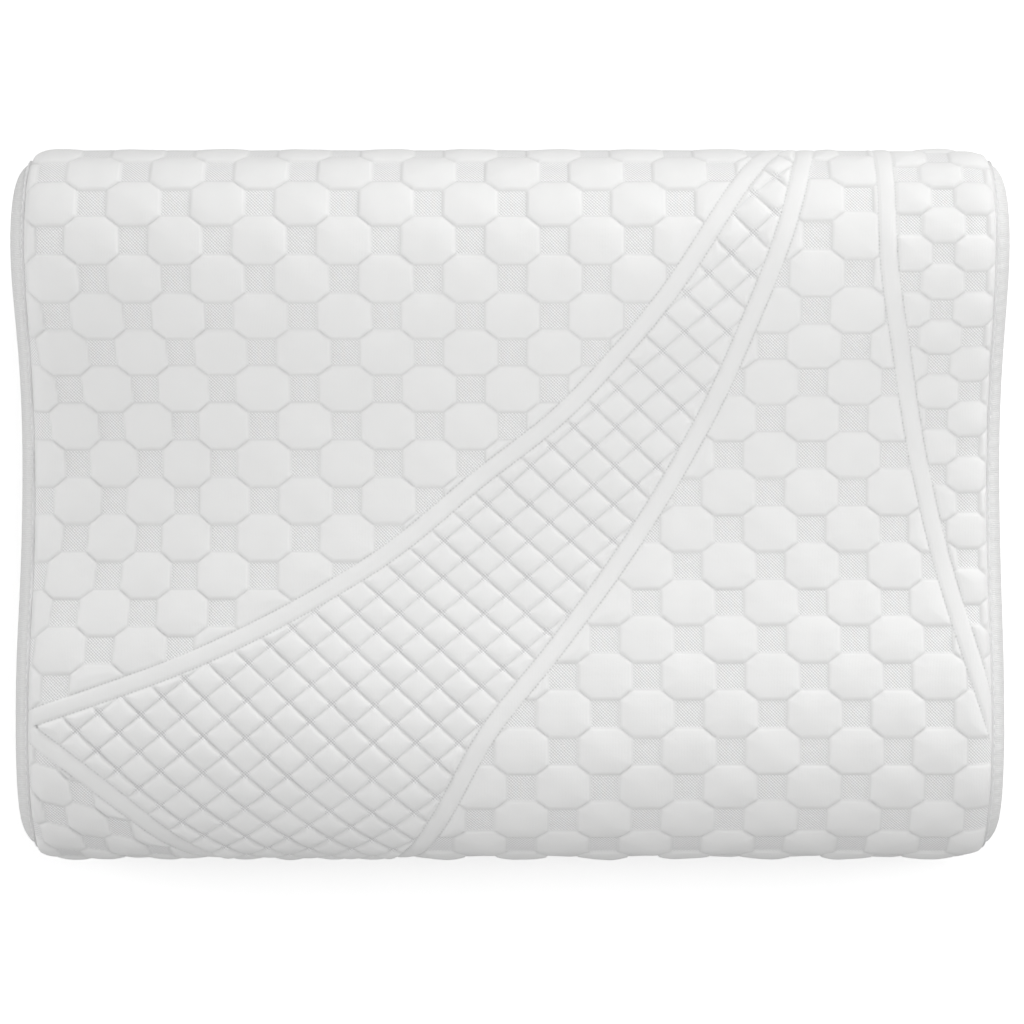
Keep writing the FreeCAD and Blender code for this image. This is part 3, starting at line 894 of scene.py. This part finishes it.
# ---------------------------------------------------------------- the zip and the label
def teeth(name, near, far, width, tall, material):
    """Both rows of a coil zip as small rounded loops, from near to far of the centre line on each side."""
    bm = bmesh.new()
    pitch = 1.6
    for side, first in ((1, 0.65), (-1, 1.45)):
        middle = ZIP_Z + side * (near + far) / 2
        for step in range(int((CHAIN_END - CHAIN_START - first) / pitch)):
            spot = Vector((CHAIN_START + first + step * pitch, TAPE_FACE_Y + tall / 2, middle)) * MM
            size = Matrix.Diagonal((width * MM, tall * MM, abs(far - near) * MM, 1.0))
            bmesh.ops.create_cube(bm, size=1.0, matrix=Matrix.Translation(spot) @ size)
    bmesh.ops.bevel(bm, geom=bm.edges, offset=0.24 * MM, segments=1, profile=0.5, affect="EDGES",
                    material=-1)
    return finish_mesh(name, bm, material)


def zip_chain():
    """The meshed coils, from the chain's start to just ahead of the slider's middle. Parted rows lie
    beneath them.
    """
    nylon = coil_nylon()
    chain = teeth("zip_chain", -0.6, 2.05, 0.86, 1.8, nylon)
    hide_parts("zip_coil_upper", "zip_coil_lower")
    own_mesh(chain)
    teeth("zip_parted_rows", 0.95, 2.3, 0.74, 1.6, nylon)
    bm = bmesh.new()
    for side in (-1, 1):
        v = V_BACK_SEAM + side * 2.75
        stitch_line(bm, (CHAIN_START, v), (CHAIN_END + 6.0, v), 1.6, 0.9, 0.34, TAPE_FACE_Y - FACET_Y + 0.1)
    finish_mesh("coil_threads", bm, sewing_thread())


def finish_zip_parts():
    """The tapes, stops, slider and pull tab keep their CAD shapes and get real finishes."""
    weave, metal = tape_weave(), zip_metal()
    finishes = {"zip_tape_upper": weave, "zip_tape_lower": weave, "zip_top_stops": metal,
                "zip_bottom_stop": metal, "zip_slider": metal, "zip_pull_tab": metal}
    for node, finish in finishes.items():
        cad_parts[node].data.materials.clear()
        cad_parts[node].data.materials.append(finish)


def care_label():
    """A blank satin label: it leaves the back seam, bows over the quilting and hangs with a slight curl."""
    width, drop = LABEL_X[1] - LABEL_X[0], LABEL_DROP
    bm = bmesh.new()
    bmesh.ops.create_grid(bm, x_segments=16, y_segments=27, size=1.0)
    piece = finish_mesh("satin_label", bm, label_satin())
    flat = np.empty(len(piece.data.vertices) * 3)
    piece.data.vertices.foreach_get("co", flat)
    flat = flat.reshape(-1, 3)
    x = (LABEL_X[0] + LABEL_X[1]) / 2 + flat[:, 0] * width / 2
    down = (1.0 - flat[:, 1]) / 2.0
    curl = 0.35 * np.sin(flat[:, 0] * 2.2 + 0.4) * down
    y = FACET_Y + 0.3 + 2.0 * smooth(down * 4.0) + 0.35 * np.sin(down * 5.0) + curl
    place(piece, np.stack([x, y, BACK_SEAM_Z - 0.3 - down * (drop - 0.6)], axis=1) * MM)
    wall = piece.modifiers.new("thickness", "SOLIDIFY")
    wall.thickness = 0.35 * MM
    wall.offset = 0.0
    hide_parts("care_label")


def build_pillow():
    quilt, plain, welt = quilted_knit(), plain_knit(), welt_tape()
    fine, coarse = ((1.0, 1.8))
    quilted_panel("top_cloth", (V_FRONT_SEAM, V_BACK_SEAM), fine, quilt, "cover_top_face",
                  quilting, 1, free_puffs)
    quilted_panel("bottom_cloth", (V_BACK_SEAM, V_FRONT_SEAM + GIRTH), coarse, quilt, "cover_bottom_face",
                  underside_quilting, 0, resting_puffs)
    end_of_cover(-1, "left", plain, welt)
    end_of_cover(1, "right", plain, welt)
    inner_layers()
    seam_stitches()
    zip_chain()
    finish_zip_parts()
    care_label()


# ---------------------------------------------------------------- studio
SKY = 0.53                       # brightness overhead, and below the horizon
GROUND = 0.18
# Soft boxes: where each stands, what it points at, its width in metres and its power in watts
LIGHTS = {
    "key": ((1.0, 2.1, 0.50), (0.0, 0.0, 0.10), 1.0, 20.0),
    "overhead": ((0.12, 0.15, 0.60), (0.12, 0.15, 0.0), 0.7, 1.3),
    "left_fill": ((-1.3, 0.1, 0.30), (0.0, 0.0, 0.06), 0.8, 5.0),
    "right_fill": ((1.3, 0.1, 0.30), (0.0, 0.0, 0.06), 0.8, 4.0),
    "front_fill": ((0.0, -1.6, 0.30), (0.0, 0.0, 0.06), 1.2, 4.2),
}


def sky():
    """An even white tent overhead that dims below the horizon."""
    world = bpy.data.worlds.new("studio")
    world.use_nodes = True
    tree = world.node_tree
    direction = tree.nodes.new("ShaderNodeTexCoord")
    split = tree.nodes.new("ShaderNodeSeparateXYZ")
    level = tree.nodes.new("ShaderNodeMapRange")
    for name, value in (("From Min", -0.15), ("From Max", 0.15), ("To Min", GROUND), ("To Max", SKY)):
        level.inputs[name].default_value = value
    tree.links.new(direction.outputs["Generated"], split.inputs[0])
    tree.links.new(split.outputs["Z"], level.inputs["Value"])
    tree.links.new(level.outputs["Result"], tree.nodes["Background"].inputs["Strength"])
    tree.nodes["Background"].inputs["Color"].default_value = (1.0, 1.0, 1.0, 1.0)
    bpy.context.scene.world = world


def studio():
    bm = bmesh.new()
    bmesh.ops.create_grid(bm, x_segments=2, y_segments=2, size=6.0)
    mesh = bpy.data.meshes.new("floor")
    bm.to_mesh(mesh)
    bm.free()
    floor = bpy.data.objects.new("floor", mesh)
    floor.location.z = -0.001
    floor.visible_diffuse = False
    mesh.materials.append(studio_floor())
    bpy.context.collection.objects.link(floor)

    sky()
    bpy.context.scene.view_settings.view_transform = "Standard"
    for name, (spot, target, size, power) in LIGHTS.items():
        light = bpy.data.lights.new(name, "AREA")
        light.size = size
        light.energy = power
        lamp = bpy.data.objects.new(name, light)
        lamp.location = spot
        lamp.rotation_euler = (Vector(target) - lamp.location).to_track_quat("-Z", "Y").to_euler()
        lamp.visible_camera = False
        bpy.context.collection.objects.link(lamp)


def camera():
    """Straight down, from 1.7 m above the pillow, with its back edge at the top of the view."""
    data = bpy.data.cameras.new("camera")
    data.sensor_width = 36.0
    data.lens = 100.6
    view = bpy.data.objects.new("camera", data)
    view.location = (0.0012, -0.0034, 1.82)
    view.rotation_euler = (0.0, 0.0, 0.0)
    bpy.context.collection.objects.link(view)
    bpy.context.scene.camera = view


build_pillow()
studio()
camera()
